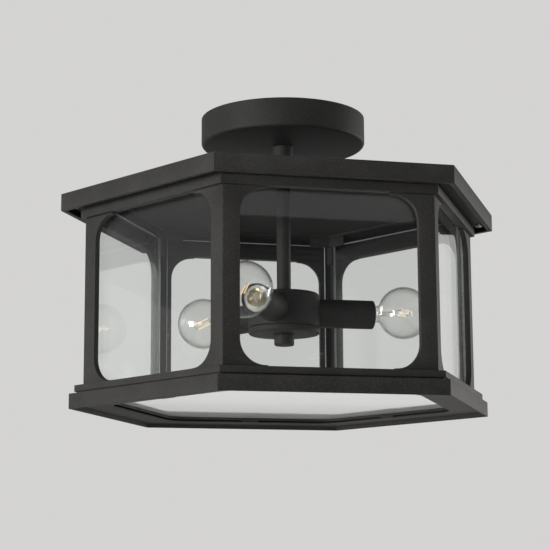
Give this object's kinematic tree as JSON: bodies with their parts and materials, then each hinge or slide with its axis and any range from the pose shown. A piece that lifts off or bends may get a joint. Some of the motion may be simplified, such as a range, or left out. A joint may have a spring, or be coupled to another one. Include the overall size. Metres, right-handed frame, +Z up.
{
  "type": "porch ceiling lantern",
  "caption": "Close-to-ceiling porch lantern: black hexagonal cage under a low hipped roof, clear side and floor panes, and a central stem whose sideways sockets hold clear globe bulbs.",
  "frame": {"origin": "centre of the ceiling face, where the canopy and its mounting strap meet the ceiling", "axes": "+Z up, out of the lantern into the ceiling; the lantern hangs towards -Z; +X runs from the axis through one corner post, which is the widest direction; +Y runs to the middle of a glass side"},
  "size_m": [0.4388, 0.38, 0.2927],
  "materials": {
    "black_cage": "matte",
    "black_steel": "matte",
    "zinc_steel": "satin",
    "green_steel": "satin",
    "clear_pane": "gloss",
    "holder": "matte",
    "brass_liner": "satin",
    "bulb_glass": "gloss",
    "bulb_metal": "satin",
    "filament_mount": "gloss"
  },
  "bodies": {
    "root": {"canopy": "black_steel", "mounting_strap": "zinc_steel", "ground_screw": "green_steel", "upper_nipple": "zinc_steel", "lock_nuts": "zinc_steel", "neck": "black_steel", "roof": "black_cage", "stem": "black_steel", "top_frame": "black_cage", "frame_screws": "zinc_steel", "glass_keepers": "black_cage", "corner_lugs": "black_cage", "post_1": "black_cage", "post_2": "black_cage", "post_3": "black_cage", "post_4": "black_cage", "post_5": "black_cage", "post_6": "black_cage", "side_glass_1": "clear_pane", "side_glass_2": "clear_pane", "side_glass_3": "clear_pane", "side_glass_4": "clear_pane", "side_glass_5": "clear_pane", "side_glass_6": "clear_pane", "ledge_ring": "black_cage", "base_ring": "black_cage", "cluster_body": "black_steel", "lower_nipple": "zinc_steel", "cluster_cap": "black_steel", "socket_cup_1": "black_steel", "socket_cup_2": "black_steel", "socket_cup_3": "black_steel", "lampholder_1": "holder", "lampholder_2": "holder", "lampholder_3": "holder", "screw_shell_1": "brass_liner", "screw_shell_2": "brass_liner", "screw_shell_3": "brass_liner"},
    "bulb_1": {"bulb_globe_1": "bulb_glass", "bulb_base_1": "bulb_metal", "bulb_filament_1": "filament_mount"},
    "bulb_2": {"bulb_globe_2": "bulb_glass", "bulb_base_2": "bulb_metal", "bulb_filament_2": "filament_mount"},
    "bulb_3": {"bulb_globe_3": "bulb_glass", "bulb_base_3": "bulb_metal", "bulb_filament_3": "filament_mount"},
    "finial": {"finial": "black_steel"},
    "floor_pane": {"bottom_glass": "clear_pane"}
  },
  "joints": [
    {"name": "bulb_1_unscrew", "type": "slide", "parent": "root", "child": "bulb_1", "axis": [0.9973, -0.0209, 0.0698], "range_m": [0, 0.022]},
    {"name": "bulb_2_unscrew", "type": "slide", "parent": "root", "child": "bulb_2", "axis": [-0.4806, 0.8742, 0.0698], "range_m": [0, 0.022]},
    {"name": "bulb_3_unscrew", "type": "slide", "parent": "root", "child": "bulb_3", "axis": [-0.5168, -0.8533, 0.0698], "range_m": [0, 0.022]},
    {"name": "finial_unscrew", "type": "slide", "parent": "root", "child": "finial", "axis": [0, 0, -1], "range_m": [0, 0.012]},
    {"name": "floor_pane_lift", "type": "slide", "parent": "root", "child": "floor_pane", "axis": [0, 0, 1], "range_m": [0, 0.035]}
  ]
}
